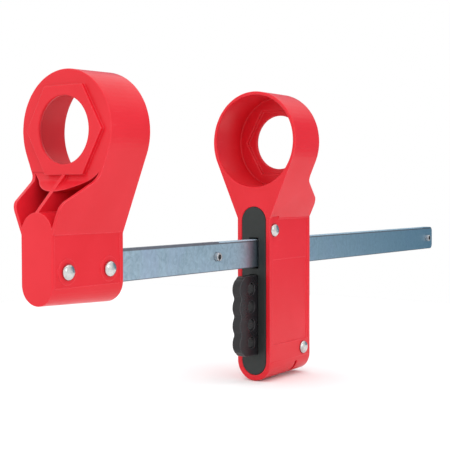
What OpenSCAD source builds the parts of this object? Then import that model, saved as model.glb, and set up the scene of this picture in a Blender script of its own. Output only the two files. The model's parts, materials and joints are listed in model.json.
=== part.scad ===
// Adjustable lockout clamp for bolted pipe flanges.
// Two cup-shaped heads face each other on a toothed flat bar. The far head slides along the bar on a
// ratchet, and a four-hole trigger lifts the ratchet's pawl off the teeth.
// Millimetres. The origin is the centre of the fixed head's bolt bore, at the outer face of its boss.
// +X runs along the bar to its free end, +Z points from the bar up to the cups.

/* [Heads] */
// Height of the bolt axis above the middle of the bar
bore_height = 81.7; // [76:0.1:100]
// Inside radius of the nut cup
cup_r = 33.5; // [28:0.5:40]
// Wall of the nut cup at its open rim
cup_wall = 2.5; // [2:0.1:4]
// Depth of the nut cup from its rim to its floor
cup_depth = 31.3; // [24:0.1:40]
// Thickness of the cup's floor and of the plate in the boss
floor_t = 2.5; // [2:0.1:4]
// How far the hexagonal boss stands out of the cup's end
boss_step = 2.3; // [1.5:0.1:4]
// Hexagonal boss, across flats
boss_af = 52; // [48:0.5:56]
// Hexagonal pocket inside the boss, across flats
pocket_af = 47.6; // [44:0.1:50]
// Diameter of the bolt bore
bolt_bore = 40; // [32:0.5:42]
// Depth of both heads' bodies from the rim plane to the end wall
body_depth = 57.8; // [52:0.1:72]
// Width of the bodies at the rim plane
rim_w = 28.6; // [27:0.1:36]
// Width of the bodies at the end wall, less by the mould's draft
end_w = 25; // [24:0.1:30]
// How much the cup's outer radius shrinks to its closed end
cup_draft = 0.45; // [0:0.05:1]
// Radius of the cavity that runs through each body
cavity_r = 10.5; // [9.5:0.1:11]
// Wall at the closed end of each body and on the web around the pockets
wall = 2.5; // [2:0.1:3]
// Thickness of the rib between the boss and the body
rib_t = 2.5; // [2:0.1:4]
// Height of the side walls' outer corner above the middle of the bar
shoulder_z = 38.3; // [36:0.1:42]
// Slope of the side walls from that corner up to the cup
shoulder_slope = 32; // [24:1:38]
// Rounding of that corner
shoulder_round = 8; // [3:0.5:10]
// Rounding of the valley between that slope and the cup
neck_r = 7; // [1:0.5:9]

/* [Fixed head] */
// Height above the bar's middle at which the fixed head starts to widen
fixed_flare_z = 21.4; // [20:0.1:26]
// Height of the half-round top of the fixed body
fixed_top_z = 21.5; // [18:0.1:24]
// Depth below the bar's middle of the centre of the half-round foot
fixed_foot_z = 7; // [5:0.1:20]
// Distances of the two rivets from the rim plane
fixed_rivet_u = [12, 46]; // [6:0.5:52]
// Radius of the raised pad around each rivet
rivet_pad_r = 7.5; // [6:0.1:9]

/* [Sliding head] */
// Distance between the two rim planes as it is set
head_gap = 159.4; // [120:0.1:300]
// Height above the bar's middle at which the sliding head starts to widen
sliding_flare_z = 25.7; // [24:0.1:28]
// Height of the half-round top of the sliding body
sliding_top_z = 23.3; // [20:0.1:26]
// Depth below the bar's middle of the centre of the half-round foot
sliding_foot_z = 79.4; // [76:0.1:100]
// Upper rivet: distance from the rim plane and height above the bar's middle
upper_rivet = [6.6, 16.8]; // [0:0.1:30]
// Lower rivet: distance from the rim plane and depth below the bar's middle
lower_rivet = [47.4, 73.4]; // [0:0.1:90]
// Depth of the recessed side panels
panel_depth = 0.5; // [0.3:0.1:1]
// Depth of the blank label field below the side panel
label_depth = 0.3; // [0.1:0.1:0.5]
// Width of the drain slot across the foot
drain_w = 2.8; // [1:0.1:3]
// Distance of the drain slot from the rim plane
drain_u = 36.5; // [30:0.5:44]

/* [Bar] */
// Height of the bar
bar_h = 20.3; // [16:0.1:21]
// Thickness of the bar
bar_t = 6.1; // [4:0.1:7]
// Length of the bar beyond the fixed head's rim plane
bar_reach = 454.5; // [420:0.5:600]
// Rounding of the bar's free corners
bar_corner_r = 4; // [2:0.5:8]
// Pitch of the ratchet teeth
tooth_pitch = 2; // [1.5:0.1:3]
// Depth of the ratchet teeth
tooth_depth = 0.8; // [0.5:0.1:1.2]
// Distance of the first tooth from the fixed head's rim plane
teeth_start = 113; // [110:1:120]
// Plain length left at the free end
teeth_margin = 18; // [14:1:40]
// Distance of the inner stop pin from the fixed head's rim plane
inner_pin_x = 109.9; // [90:0.1:112]
// Distance of the end stop pin from the bar's free end
end_pin_inset = 11.3; // [8:0.1:20]
// Diameter of the stop pins
stop_pin_d = 6; // [4:0.5:8]
// How far each stop pin stands out of the bar's sides
stop_pin_proud = 2.8; // [2:0.1:8]
// Wall of the hollow stop pins
stop_pin_wall = 1.2; // [0.8:0.1:1.5]

/* [Trigger] */
// Number of finger lobes, each with a padlock hole
lobe_count = 4; // [3:1:4]
// Distance from one lobe to the next
lobe_pitch = 13; // [12:0.1:14]
// Radius of the finger lobes
lobe_r = 8.5; // [7.5:0.1:10]
// Radius of the valleys between the finger lobes
valley_r = 3; // [1:0.1:5]
// Depth of the middle of the lobes below the bar's middle
trigger_z = 45.05; // [44:0.1:48]
// How far the trigger stands out of the front plate
trigger_reach = 22.2; // [19:0.1:28]
// Thickness of the trigger
trigger_t = 6.8; // [6:0.1:7]
// Diameter of the padlock holes
lock_hole_d = 8.7; // [6:0.1:9]
// Distance of the padlock holes from the front plate
lock_hole_u = 7.8; // [6:0.1:9]
// Travel of the trigger when it is squeezed
squeeze = 8; // [5:0.5:8]
// Lift of the pawl for each millimetre of squeeze
lift_ratio = 0.3; // [0.2:0.05:0.35]

/* [Rivets and pins] */
// Diameter of the head rivets' shanks
rivet_d = 6; // [4:0.5:6.5]
// Diameter of their domed heads
rivet_head_d = 9.6; // [9:0.1:11]
// Height of their domed heads
rivet_head_h = 3; // [2:0.1:4]
// Diameter of the follower pin
follower_d = 4; // [3:0.1:4.5]
// Diameter of the small cross pins in the yoke and the trigger
cross_pin_d = 2.5; // [2:0.1:3]

/* [Springs] */
// Outside diameter of the coil springs
spring_d = 7; // [6:0.1:7.5]
// Wire of the coil springs
wire_d = 0.9; // [0.6:0.1:1.1]
// Turns of each trigger spring
trigger_turns = 8; // [5:1:10]
// Turns of the pawl spring
pawl_turns = 4; // [3:1:5]

/* [Fits] */
// Gap around a piece that is fixed in its seat
seat_gap = 0.1; // [0.05:0.01:0.2]
// Gap on each side of a piece that slides
slide_gap = 0.2; // [0.1:0.05:0.4]
// Radial gap of a pin in its hole
pin_gap = 0.05; // [0.02:0.01:0.1]
// Gap around the bar in the front plate's window
window_gap = 1; // [0.5:0.1:1.5]
// Height of the pawl's tips above the bar's crests, as drawn
pawl_gap = 0.15; // [0.1:0.05:0.3]

/* [Hidden] */
$fn = 96;
hair = 0.01;
over = 1;
ring_depth = cup_depth + floor_t;
head_depth = ring_depth + boss_step;
ring_r = cup_r + cup_wall;
rim_x = head_depth;
bar_z = -bore_height;
slide_x = rim_x + head_gap;
draft = (rim_w - end_w) / 2 / body_depth;
web_t = wall + 0.3;
rivet_r = rivet_d / 2;
head_r = rivet_head_d / 2;
bar_r = bar_h / 2;
bar_half = bar_t / 2;
trigger_half = trigger_t / 2;

// front plate, carrier and chamber, from the rim plane and the bar's middle
plate_t = 3;
chamber_wall = 3.6;
flange_room = 8;
carrier_r = cavity_r - seat_gap;
carrier_depth = body_depth - wall - seat_gap;
chamber_half = carrier_r - chamber_wall;
chamber_front = plate_t + flange_room;
trigger_flange_t = 4.5;
lobe_shoulder = 1;
flange_lip = 2;
yoke_room = 17;
flange_front = plate_t + seat_gap;
flange_back = flange_front + trigger_flange_t;
lobe_span = (lobe_count - 1) * lobe_pitch;
trigger_top = -trigger_z + lobe_span / 2 + lobe_r + lobe_shoulder;
trigger_foot = -trigger_z - lobe_span / 2 - lobe_r - lobe_shoulder;
flange_half = chamber_half - slide_gap;
flange_foot = trigger_foot - flange_lip;
flange_top = trigger_top - yoke_room;

// yoke, pawl and cam plate
yoke_t = 1.5;
yoke_gap = 0.5;
pawl_h = 8.5;
pawl_pin_h = 5.5;
follower_drop = 8.5;
follower_edge = 4;
cam_edge = 4.5;
cam_tail = 6;
yoke_in = bar_half + yoke_gap;
yoke_front = chamber_front + 1;
yoke_w = 12;
yoke_mid = yoke_front + yoke_w / 2;
yoke_top = bar_r + pawl_gap + pawl_h;
lift = squeeze * lift_ratio;
follower_z = trigger_top - follower_drop;
yoke_foot = follower_z - follower_edge;
pawl_pin_z = bar_r + pawl_pin_h;
cam_half = 2;
cam_foot = follower_z - cam_edge;
cam_top = follower_z + lift + cam_edge;
cam_front = flange_front + 0.6;
cam_back = yoke_mid + cam_tail;
cam_pin_u = cam_front + cross_pin_d / 2 + 0.8;
cam_pin_z = follower_z + lift / 2;

// chamber, spring block and rear guide
spare = 1;
head_room = 0.6;
rivet_wall = 3;
guide_wall = 3;
spring_inset = 8;
guide_pin_seat = 8;
chamber_top = yoke_top + yoke_t + lift + head_room;
chamber_foot = lower_rivet[1] - rivet_r - rivet_wall;
block_front = cam_back + squeeze + spare;
block_half = chamber_half - seat_gap;
block_top = flange_top + 1;
guide_front = block_front + 6;
guide_half = bar_half + guide_wall;
guide_nose_h = bar_r + guide_wall;
spring_z = [flange_top - spring_inset, spring_inset - chamber_foot];
guide_pin_d = spring_d - 2 * wire_d - 1;
guide_pin_out = block_front - flange_back - squeeze - 2 * spare;
spring_room = cavity_r / 2 - spare;
pawl_spring_top = sliding_top_z + spring_room;

// ---- shapes that repeat ----

// half of a body's width at a distance u from its rim plane
function half_w(u) = rim_w / 2 - draft * u;

// outer radius of the cup at a distance u from its rim plane
function ring_at(u) = ring_r - cup_draft * u / ring_depth;

// angle from the vertical of the line from (half, low) that just touches a circle of radius r
// whose centre is at height bore_height on the middle plane
function flare_angle(half, low, r) =
    asin(r / norm([half, bore_height - low])) - atan(half / (bore_height - low));

// a cylinder along +X, and one along Y centred on the middle plane
module rod_x(r, length) {
    rotate([0, 90, 0]) cylinder(h = length, r = r);
}
module rod_y(r, length) {
    rotate([90, 0, 0]) cylinder(h = length, r = r, center = true);
}

// an outline of half-width r with round ends, from height low to height high, extruded along +X
module stadium(r, low, high, length) {
    translate([0, 0, low]) rod_x(r, length);
    translate([0, 0, high]) rod_x(r, length);
    translate([0, -r, low]) cube([length, 2 * r, high - low]);
}

// hexagonal prism along +X with flats above and below
module hex_x(across_flats, length) {
    rotate([0, 90, 0]) rotate([0, 0, 90])
        cylinder(h = length, r = across_flats / 2 / cos(30), $fn = 6);
}

// an outline in the X and Z plane, given thickness across the middle plane
module slab_y(thickness) {
    rotate([90, 0, 0]) linear_extrude(thickness, center = true) children();
}

// rivet along Y with a domed head at each end; the heads' flat sides are at +seat and -seat
module domed_rivet(seat) {
    dome_r = (head_r * head_r + rivet_head_h * rivet_head_h) / 2 / rivet_head_h;
    rod_y(rivet_r, 2 * seat + hair);
    for (side = [-1, 1])
        intersection() {
            translate([0, side * (seat + rivet_head_h - dome_r), 0]) sphere(r = dome_r);
            translate([0, side * (seat + rivet_head_h / 2), 0])
                cube([rivet_head_d + over, rivet_head_h, rivet_head_d + over], center = true);
        }
}

// coil spring along +Z from the origin: a round wire swept along a helix with flat-lying ends
module coil(outer_d, wire, turns, length) {
    sides = 6;
    steps = 16;
    coil_r = (outer_d - wire) / 2;
    count = turns * steps;
    rise = length - wire;
    points = [
        for (i = [0:count])
            for (j = [0:sides - 1])
                let (turn = 360 * i / steps, around = 360 * j / sides)
                    [
                        (coil_r + wire / 2 * cos(around)) * cos(turn),
                        (coil_r + wire / 2 * cos(around)) * sin(turn),
                        wire / 2 + rise * i / count + wire / 2 * sin(around)
                    ]
    ];
    skin = [
        for (i = [0:count - 1])
            for (j = [0:sides - 1])
                let (k = (j + 1) % sides)
                    [i * sides + j, (i + 1) * sides + j, (i + 1) * sides + k, i * sides + k]
    ];
    caps = [[for (j = [0:sides - 1]) j], [for (j = [sides - 1:-1:0]) count * sides + j]];
    polyhedron(points = points, faces = concat(skin, caps));
}

// ---- the two heads, drawn outward from the rim plane along +X, with the bar's middle at height 0 ----

// outline of the side walls seen from the side
module shoulder_outline(low) {
    turn = 90 - shoulder_slope;
    tangent = shoulder_round * tan(turn / 2);
    cup_z = shoulder_z + (body_depth - ring_depth) * tan(shoulder_slope);
    neck = neck_r * tan(turn / 2);
    neck_steps = 6;
    polygon([
        [0, low],
        [body_depth, low],
        [body_depth, shoulder_z - tangent],
        [body_depth - tangent * cos(shoulder_slope), shoulder_z + tangent * sin(shoulder_slope)],
        for (i = [0:neck_steps])
            let (around = 180 + turn * (1 - i / neck_steps))
                [ring_depth + neck_r * (1 + cos(around)), cup_z + neck + neck_r * sin(around)],
        [ring_depth, bore_height],
        [0, bore_height]
    ]);
    translate([body_depth - shoulder_round, shoulder_z - tangent]) circle(shoulder_round);
}

// wedge between the body and the cup, set in by inset on each side
module flare(flare_z, inset) {
    hull()
        for (u = [0, body_depth]) {
            half = half_w(u) - inset;
            r = ring_at(u) - inset;
            lean = flare_angle(half, flare_z, r);
            reach = r * cos(lean);
            top = bore_height - r * sin(lean);
            translate([u == 0 ? 0 : u - hair, 0, 0])
                rotate([90, 0, 90])
                    linear_extrude(hair)
                        polygon([[-half, flare_z], [half, flare_z], [reach, top], [-reach, top]]);
        }
}

// body with drafted sides between a half-round foot and a half-round top; its sides run up a little
// way into the flare
module body_solid(foot_z, top_z, flare_z) {
    lap = 0.5;
    for (z = [-foot_z, top_z])
        translate([0, 0, z])
            rotate([0, 90, 0]) cylinder(h = body_depth, r1 = rim_w / 2, r2 = end_w / 2);
    translate([0, 0, -foot_z])
        linear_extrude(foot_z + flare_z + lap)
            polygon([
                [0, -rim_w / 2],
                [body_depth, -end_w / 2],
                [body_depth, end_w / 2],
                [0, rim_w / 2]
            ]);
}

// shallow recess in both drafted sides, from u0 to u1 and from z0 to z1
module side_recess(u0, u1, z0, z1, depth) {
    for (side = [0, 1])
        mirror([0, side, 0])
            translate([0, 0, z0])
                linear_extrude(z1 - z0)
                    polygon([
                        [u0, half_w(u0) - depth],
                        [u1, half_w(u1) - depth],
                        [u1, rim_w],
                        [u0, rim_w]
                    ]);
}

// rib that joins the boss to the top of the body; it meets the boss just behind the boss's face
module rib(top_z) {
    set_back = 0.3;
    boss_low = bore_height - boss_af / 2;
    slab_y(rib_t)
        polygon([
            [wall, top_z],
            [body_depth - set_back, top_z],
            [body_depth - set_back, top_z + end_w / 2],
            [head_depth - set_back, boss_low],
            [head_depth - set_back, boss_low + over],
            [wall, boss_low + over]
        ]);
}

// one head without its cavity's windows and rivet holes
module head_blank(flare_z, foot_z, top_z, cavity_foot, cavity_top) {
    difference() {
        union() {
            difference() {
                intersection() {
                    flare(flare_z, 0);
                    slab_y(3 * ring_r) shoulder_outline(flare_z - over);
                }
                // the pockets on both sides of the rib
                difference() {
                    translate([web_t, 0, 0]) flare(flare_z - over, wall);
                    translate([web_t, 0, bore_height]) rod_x(ring_at(ring_depth / 2), body_depth);
                }
            }
            body_solid(foot_z, top_z, flare_z);
            rib(top_z);
            translate([0, 0, bore_height])
                rotate([0, 90, 0]) cylinder(h = ring_depth, r1 = ring_r, r2 = ring_at(ring_depth));
            translate([ring_depth - over, 0, bore_height]) hex_x(boss_af, boss_step + over);
        }
        // nut cup, hexagonal pocket and bolt bore
        translate([-over, 0, bore_height]) rod_x(cup_r, cup_depth + over);
        translate([cup_depth - over, 0, bore_height])
            hex_x(pocket_af, head_depth - floor_t - cup_depth + over);
        translate([cup_depth, 0, bore_height]) rod_x(bolt_bore / 2, head_depth);
        // cavity of the body, open at the rim plane
        translate([-over, 0, 0])
            stadium(cavity_r, -cavity_foot, cavity_top, body_depth - wall + over);
    }
}

module at_fixed_head() {
    translate([rim_x, 0, bar_z]) mirror([1, 0, 0]) children();
}
module at_sliding_head() {
    translate([slide_x, 0, bar_z]) children();
}

// ---- fixed head and bar ----

fixed_cavity_foot = fixed_foot_z - 1;
fixed_cavity_top = fixed_top_z - 0.5;
// the recess in the side walls starts and ends this far from the rim plane and the end wall
recess_edge = [3, 2];
pad_t = 2;

module fixed_head_shell() {
    color("crimson")
        at_fixed_head()
            difference() {
                union() {
                    difference() {
                        head_blank(
                            fixed_flare_z, fixed_foot_z, fixed_top_z, fixed_cavity_foot, fixed_cavity_top
                        );
                        side_recess(
                            recess_edge[0], body_depth - recess_edge[1],
                            -fixed_foot_z - recess_edge[1], fixed_flare_z, panel_depth
                        );
                    }
                    for (u = fixed_rivet_u, side = [-1, 1])
                        translate([u, side * (half_w(u) - pad_t / 2), 0]) rod_y(rivet_pad_r, pad_t);
                }
                for (u = fixed_rivet_u)
                    translate([u, 0, 0]) rod_y(rivet_r + pin_gap, 2 * rim_w);
            }
}

// block that fills the fixed head's cavity and holds the bar
module fixed_head_socket() {
    depth = body_depth - wall - seat_gap;
    color("dimgray")
        at_fixed_head()
            difference() {
                stadium(cavity_r - seat_gap, -fixed_cavity_foot, fixed_cavity_top, depth);
                translate([-over, -bar_half - seat_gap, -bar_r - seat_gap])
                    cube([fixed_tail_u() + over + seat_gap, bar_t + 2 * seat_gap, bar_h + 2 * seat_gap]);
                for (u = fixed_rivet_u)
                    translate([u, 0, 0]) rod_y(rivet_r + pin_gap, 2 * rim_w);
            }
}

module fixed_head_rivets() {
    color("gainsboro")
        at_fixed_head()
            for (u = fixed_rivet_u)
                translate([u, 0, 0]) domed_rivet(half_w(u));
}

// how far the bar's tail reaches into the fixed head
function fixed_tail_u() = max(fixed_rivet_u) + rivet_r + rivet_wall;

// side outline of the bar, with its ratchet teeth along the top
module bar_outline() {
    tail = -fixed_tail_u();
    first = teeth_start;
    count = floor((bar_reach - teeth_margin - teeth_start) / tooth_pitch);
    teeth = [
        for (i = [0:count - 1])
            each [
                [first + i * tooth_pitch, bar_r],
                [first + (i + 0.35) * tooth_pitch, bar_r - tooth_depth],
                [first + (i + 0.85) * tooth_pitch, bar_r]
            ]
    ];
    difference() {
        polygon(concat(
            [[tail, -bar_r], [tail, bar_r]],
            teeth,
            [[bar_reach, bar_r], [bar_reach, -bar_r]]
        ));
        for (side = [0, 1])
            mirror([0, side])
                difference() {
                    translate([bar_reach - bar_corner_r, bar_r - bar_corner_r]) square(2 * bar_corner_r);
                    translate([bar_reach - bar_corner_r, bar_r - bar_corner_r]) circle(bar_corner_r);
                }
    }
}

end_pin_x = bar_reach - end_pin_inset;

module bar() {
    color("lightsteelblue")
        translate([rim_x, 0, bar_z])
            difference() {
                slab_y(bar_t) bar_outline();
                for (x = [inner_pin_x, end_pin_x])
                    translate([x, 0, 0]) rod_y(stop_pin_d / 2 + pin_gap, 2 * bar_t);
                for (u = fixed_rivet_u)
                    translate([-u, 0, 0]) rod_y(rivet_r + pin_gap, 2 * bar_t);
            }
}

module stop_pin(x) {
    color("silver")
        translate([rim_x + x, 0, bar_z])
            difference() {
                rod_y(stop_pin_d / 2, bar_t + 2 * stop_pin_proud);
                rod_y(stop_pin_d / 2 - stop_pin_wall, bar_t + 2 * stop_pin_proud + over);
            }
}
module inner_stop_pin() {
    stop_pin(inner_pin_x);
}
module end_stop_pin() {
    stop_pin(end_pin_x);
}

// ---- sliding head ----

sliding_cavity_foot = sliding_foot_z - 0.4;
seat_sink = 0.3;
seat_r = head_r + 0.4;
seat_cut = 4;
upper_seat = half_w(upper_rivet[0]) - panel_depth - seat_sink;
lower_seat = half_w(lower_rivet[0]) - seat_sink;

// holes for both rivets of the sliding head
module rivet_holes() {
    translate([upper_rivet[0], 0, upper_rivet[1]]) rod_y(rivet_r + pin_gap, 2 * rim_w);
    translate([lower_rivet[0], 0, -lower_rivet[1]]) rod_y(rivet_r + pin_gap, 2 * rim_w);
}

module sliding_head_shell() {
    label_top = -4.8;
    label_foot = -67;
    label_edge = 5;
    panel_edge = 3;
    panel_top = sliding_flare_z - 1;
    tab_w = 9.1;
    tab_rise = 1.2;
    drain_floor = 3.3;
    color("crimson")
        at_sliding_head()
            difference() {
                head_blank(
                    sliding_flare_z, sliding_foot_z, sliding_top_z, sliding_cavity_foot, sliding_top_z
                );
                // side panel with its tab around the upper rivet, and the blank label field
                side_recess(panel_edge, body_depth - panel_edge, label_foot, panel_top, panel_depth);
                side_recess(
                    panel_edge, panel_edge + tab_w, panel_top - over, sliding_flare_z + tab_rise,
                    panel_depth
                );
                side_recess(
                    label_edge, body_depth - label_edge, label_foot, label_top,
                    panel_depth + label_depth
                );
                // flat seats for the rivet heads
                for (side = [-1, 1]) {
                    translate([upper_rivet[0], side * (upper_seat + seat_cut / 2), upper_rivet[1]])
                        rod_y(seat_r, seat_cut);
                    translate([lower_rivet[0], side * (lower_seat + seat_cut / 2), -lower_rivet[1]])
                        rod_y(seat_r, seat_cut);
                }
                rivet_holes();
                // drain slot across the foot
                translate([drain_u, -rim_w, -sliding_foot_z - rim_w])
                    cube([drain_w, 2 * rim_w, rim_w - drain_floor]);
                // window for the rear bar guide
                translate([body_depth - wall - over, -guide_half - seat_gap, -guide_nose_h - seat_gap])
                    cube([wall + 2 * over, 2 * (guide_half + seat_gap), 2 * (guide_nose_h + seat_gap)]);
            }
}

// insert whose front plate closes the rim plane, with a chamber open at the back
module carrier() {
    color([0.23, 0.24, 0.24])
        at_sliding_head()
            difference() {
                stadium(carrier_r, -sliding_cavity_foot, sliding_top_z, carrier_depth);
                // window for the bar, through the plate and the chamber
                translate([-over, -bar_half - window_gap, -bar_r - window_gap])
                    cube([body_depth, bar_t + 2 * window_gap, bar_h + 2 * window_gap]);
                // slot for the trigger
                translate([-over, -trigger_half - slide_gap, trigger_foot - slide_gap])
                    cube([
                        body_depth / 2, trigger_t + 2 * slide_gap,
                        trigger_top - trigger_foot + 2 * slide_gap
                    ]);
                // room for the trigger's flange behind the plate
                translate([plate_t, -chamber_half, flange_foot - slide_gap])
                    cube([
                        block_front - plate_t - over, 2 * chamber_half,
                        flange_top - flange_foot + 2 * slide_gap
                    ]);
                // chamber for the yoke and the spring block
                translate([chamber_front, -chamber_half, -chamber_foot])
                    cube([body_depth, 2 * chamber_half, chamber_foot + chamber_top]);
                // pocket for the pawl's spring
                translate([yoke_mid, 0, chamber_top - over])
                    cylinder(h = pawl_spring_top - chamber_top + over, r = spring_d / 2 + 2 * slide_gap);
                rivet_holes();
            }
}

module upper_rivet() {
    color("gainsboro")
        at_sliding_head()
            translate([upper_rivet[0], 0, upper_rivet[1]]) domed_rivet(upper_seat);
}
module lower_rivet() {
    color("gainsboro")
        at_sliding_head()
            translate([lower_rivet[0], 0, -lower_rivet[1]]) domed_rivet(lower_seat);
}

// block behind the yoke that guides the bar, with a nose through the end wall
module rear_bar_guide() {
    foot = block_top + seat_gap;
    color("dimgray")
        at_sliding_head()
            difference() {
                union() {
                    translate([guide_front, -block_half, foot])
                        cube([
                            carrier_depth - guide_front, 2 * block_half, chamber_top - seat_gap - foot
                        ]);
                    translate([carrier_depth - over, -guide_half, -guide_nose_h])
                        cube([body_depth - carrier_depth + over, 2 * guide_half, 2 * guide_nose_h]);
                }
                translate([0, -bar_half - slide_gap, -bar_r - slide_gap])
                    cube([body_depth + over, bar_t + 2 * slide_gap, bar_h + 2 * slide_gap]);
            }
}

// block that the trigger springs push against
module spring_block() {
    color("dimgray")
        at_sliding_head()
            difference() {
                translate([block_front, -block_half, -chamber_foot + seat_gap])
                    cube([
                        carrier_depth - block_front, 2 * block_half, block_top + chamber_foot - seat_gap
                    ]);
                for (z = spring_z)
                    translate([block_front - over, 0, z])
                        rod_x(guide_pin_d / 2 + pin_gap, guide_pin_seat + over);
            }
}

module spring_guide_pins() {
    color("silver")
        at_sliding_head()
            for (z = spring_z)
                translate([block_front - guide_pin_out, 0, z])
                    rod_x(guide_pin_d / 2, guide_pin_out + guide_pin_seat);
}

module trigger_spring(z) {
    color("silver")
        at_sliding_head()
            translate([flange_back + hair, 0, z])
                rotate([0, 90, 0])
                    coil(spring_d, wire_d, trigger_turns, block_front - flange_back - 2 * hair);
}
module trigger_spring_upper() {
    trigger_spring(spring_z[0]);
}
module trigger_spring_lower() {
    trigger_spring(spring_z[1]);
}

// ---- trigger ----

function lobe_z(i) = -trigger_z + (i - (lobe_count - 1) / 2) * lobe_pitch;

// side outline of the grip and of the stem that runs through the front plate
module grip_outline() {
    corner_r = 5;
    lobe_x = -trigger_reach + lobe_r;
    spread = lobe_pitch / 2;
    valley_out = sqrt(pow(lobe_r + valley_r, 2) - pow(spread, 2));
    share = lobe_r / (lobe_r + valley_r);
    for (i = [0:lobe_count - 1])
        translate([lobe_x, lobe_z(i)]) circle(lobe_r);
    // webs that round off the valleys; their corners lie where both arcs touch
    for (i = [0:lobe_count - 2])
        translate([lobe_x, lobe_z(i) + spread])
            difference() {
                polygon([
                    [0, -spread],
                    [-valley_out * share, -spread * (1 - share)],
                    [-valley_out * share, spread * (1 - share)],
                    [0, spread]
                ]);
                translate([-valley_out, 0]) circle(valley_r);
            }
    for (z = [trigger_foot + corner_r, trigger_top - corner_r])
        translate([-trigger_reach + lobe_r, z]) circle(corner_r);
    translate([-trigger_reach + lobe_r, trigger_foot])
        square([trigger_reach - lobe_r + flange_back, trigger_top - trigger_foot]);
}

module trigger() {
    color([0.15, 0.14, 0.15])
        at_sliding_head()
            difference() {
                union() {
                    slab_y(trigger_t) grip_outline();
                    translate([flange_front, -flange_half, flange_foot])
                        cube([trigger_flange_t, 2 * flange_half, flange_top - flange_foot]);
                }
                for (i = [0:lobe_count - 1])
                    translate([-lock_hole_u, 0, lobe_z(i)]) rod_y(lock_hole_d / 2, 3 * trigger_t);
                // slot for the cam plate
                translate([cam_front - seat_gap, -cam_half - seat_gap, cam_foot - seat_gap])
                    cube([
                        trigger_flange_t + over, 2 * (cam_half + seat_gap),
                        cam_top - cam_foot + 2 * seat_gap
                    ]);
                translate([cam_pin_u, 0, cam_pin_z]) rod_y(cross_pin_d / 2 + pin_gap, 3 * trigger_t);
            }
}

// steel plate that moves with the trigger; its sloping slot lifts the follower pin, and each end of
// the slot is opened out a little so that the pin never binds there
module cam_plate() {
    slot_r = follower_d / 2 + pin_gap;
    end_relief = 0.2;
    slope = atan(lift_ratio);
    run = norm([squeeze, lift]);
    color("slategray")
        at_sliding_head()
            difference() {
                translate([cam_front, -cam_half, cam_foot])
                    cube([cam_back - cam_front, 2 * cam_half, cam_top - cam_foot]);
                translate([yoke_mid, 0, follower_z])
                    rotate([0, slope, 0]) {
                        translate([-run, -trigger_half, -slot_r]) cube([run, trigger_t, 2 * slot_r]);
                        for (u = [-run, 0])
                            translate([u, 0, 0]) rod_y(slot_r + end_relief, trigger_t);
                    }
                translate([cam_pin_u, 0, cam_pin_z]) rod_y(cross_pin_d / 2 + pin_gap, trigger_t);
            }
}

module cam_plate_pin() {
    color("silver")
        at_sliding_head()
            translate([cam_pin_u, 0, cam_pin_z]) rod_y(cross_pin_d / 2, trigger_t);
}

// ---- yoke and pawl ----

yoke_out = yoke_in + yoke_t;

// steel stirrup that straddles the bar, the pawl and the cam plate
module lock_yoke() {
    color("lightslategray")
        at_sliding_head()
            difference() {
                translate([yoke_front, -yoke_out, yoke_foot])
                    cube([yoke_w, 2 * yoke_out, yoke_top + yoke_t - yoke_foot]);
                translate([yoke_front - over, -yoke_in, yoke_foot - over])
                    cube([yoke_w + 2 * over, 2 * yoke_in, yoke_top - yoke_foot + over]);
                for (u = pawl_rivet_u)
                    translate([u, 0, pawl_pin_z]) rod_y(cross_pin_d / 2 + pin_gap, 3 * yoke_out);
                translate([yoke_mid, 0, follower_z]) rod_y(follower_d / 2 + pin_gap, 3 * yoke_out);
            }
}

pawl_rivet_u = [yoke_mid - 3, yoke_mid + 3];

// side outline of the pawl: its teeth hang over the bar's notches
module pawl_outline() {
    count = floor((yoke_w - 1) / tooth_pitch);
    start = -head_gap + teeth_start;
    first = start + ceil((yoke_front + 0.5 - start) / tooth_pitch) * tooth_pitch;
    low = bar_r + pawl_gap;
    teeth = [
        for (i = [0:count - 2])
            each [
                [first + i * tooth_pitch, low + tooth_depth],
                [first + (i + 0.35) * tooth_pitch, low],
                [first + (i + 0.85) * tooth_pitch, low + tooth_depth]
            ]
    ];
    polygon(concat(
        [[yoke_front, yoke_top], [yoke_front, low + tooth_depth]],
        teeth,
        [[yoke_front + yoke_w, low + tooth_depth], [yoke_front + yoke_w, yoke_top]]
    ));
}

module pawl() {
    color("slategray")
        at_sliding_head()
            difference() {
                slab_y(2 * (yoke_in - pin_gap)) pawl_outline();
                for (u = pawl_rivet_u)
                    translate([u, 0, pawl_pin_z]) rod_y(cross_pin_d / 2 + pin_gap, 3 * yoke_out);
            }
}

module pawl_rivets() {
    color("silver")
        at_sliding_head()
            for (u = pawl_rivet_u)
                translate([u, 0, pawl_pin_z]) rod_y(cross_pin_d / 2, 2 * yoke_out);
}

clip_t = 0.6;

module follower_pin() {
    color("silver")
        at_sliding_head()
            translate([yoke_mid, 0, follower_z]) rod_y(follower_d / 2, 2 * (yoke_out + clip_t + 0.3));
}

// retaining rings on the ends of the follower pin
module follower_clips() {
    color("dimgray")
        at_sliding_head()
            for (side = [-1, 1])
                translate([yoke_mid, side * (yoke_out + clip_t / 2 + hair), follower_z])
                    difference() {
                        rod_y(follower_d / 2 + 1.2, clip_t);
                        rod_y(follower_d / 2 + hair, clip_t + over);
                    }
}

module pawl_spring() {
    color("silver")
        at_sliding_head()
            translate([yoke_mid, 0, yoke_top + yoke_t + hair])
                coil(spring_d, wire_d, pawl_turns, pawl_spring_top - yoke_top - yoke_t - 2 * hair);
}

fixed_head_shell();
fixed_head_socket();
fixed_head_rivets();
bar();
inner_stop_pin();
end_stop_pin();
sliding_head_shell();
carrier();
upper_rivet();
lower_rivet();
rear_bar_guide();
spring_block();
spring_guide_pins();
trigger_spring_upper();
trigger_spring_lower();
trigger();
cam_plate();
cam_plate_pin();
lock_yoke();
pawl();
pawl_rivets();
follower_pin();
follower_clips();
pawl_spring();
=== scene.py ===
"""Adjustable lockout clamp for bolted pipe flanges: two red cup heads on a toothed zinc-plated bar."""

import json
import math

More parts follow.
